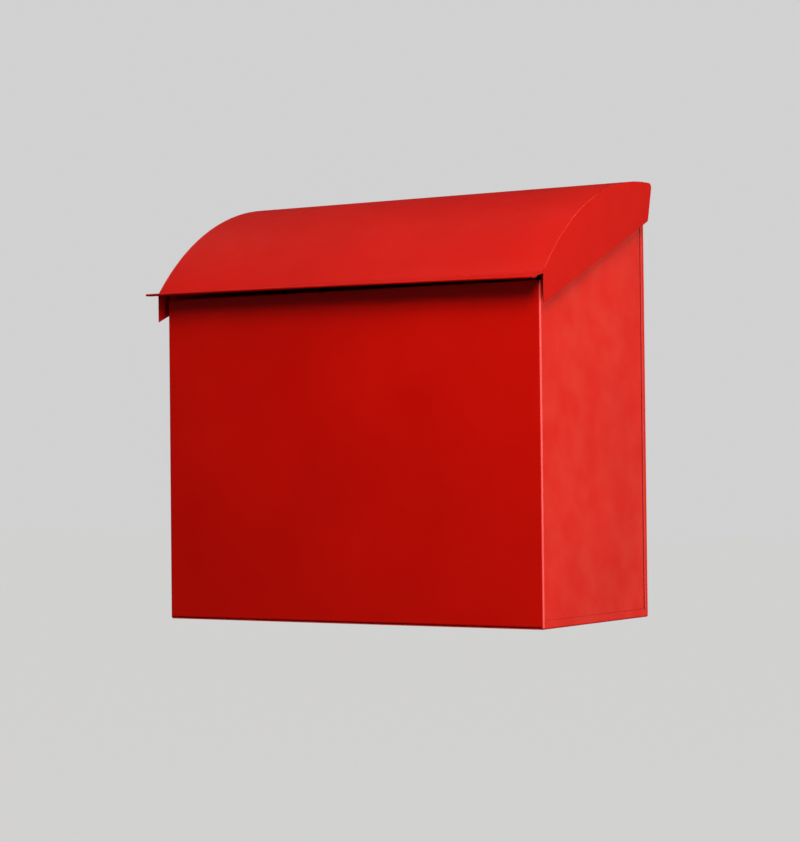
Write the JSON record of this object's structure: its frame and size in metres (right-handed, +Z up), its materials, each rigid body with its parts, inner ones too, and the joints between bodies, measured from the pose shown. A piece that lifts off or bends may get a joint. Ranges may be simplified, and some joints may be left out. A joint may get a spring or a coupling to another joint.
{
  "type": "wall mounted mailbox",
  "caption": "Folded sheet-steel wall mailbox with a curved lift-up lid on a concealed piano hinge and a finger lip.",
  "frame": {"origin": "centre of the four wall fixings, on the plane of the wall that the rubber spacers rest on", "axes": "+X to the right seen from the front, +Y into the wall, +Z up"},
  "size_m": [0.414, 0.2269, 0.3989],
  "materials": {
    "red_powder_coat": "semi-gloss smooth powder coat",
    "hinge_steel": "satin stainless strip",
    "rivet_aluminium": "plain",
    "black_rubber": "matt moulded"
  },
  "bodies": {
    "box": {"front_and_sides": "red_powder_coat", "bottom_pan": "red_powder_coat", "back_plate": "red_powder_coat", "hinge_body_leaf": "hinge_steel", "hinge_pin": "hinge_steel", "back_rivets": "rivet_aluminium", "hinge_body_rivets": "rivet_aluminium", "wall_spacer_upper_left": "black_rubber", "wall_spacer_upper_right": "black_rubber", "wall_spacer_lower_left": "black_rubber", "wall_spacer_lower_right": "black_rubber", "lid_bumper_front_left": "black_rubber", "lid_bumper_front_right": "black_rubber", "lid_bumper_rear_left": "black_rubber", "lid_bumper_rear_right": "black_rubber"},
    "lid": {"lid_roof": "red_powder_coat", "lid_cheek_left": "red_powder_coat", "lid_cheek_right": "red_powder_coat", "hinge_lid_leaf": "hinge_steel", "hinge_lid_rivets": "rivet_aluminium"}
  },
  "joints": [
    {"name": "lid_hinge", "type": "hinge", "parent": "box", "child": "lid", "pos_m": [0, -0.00875, 0.20423], "axis": [-1, 0, 0], "range_deg": [0, 100]}
  ]
}
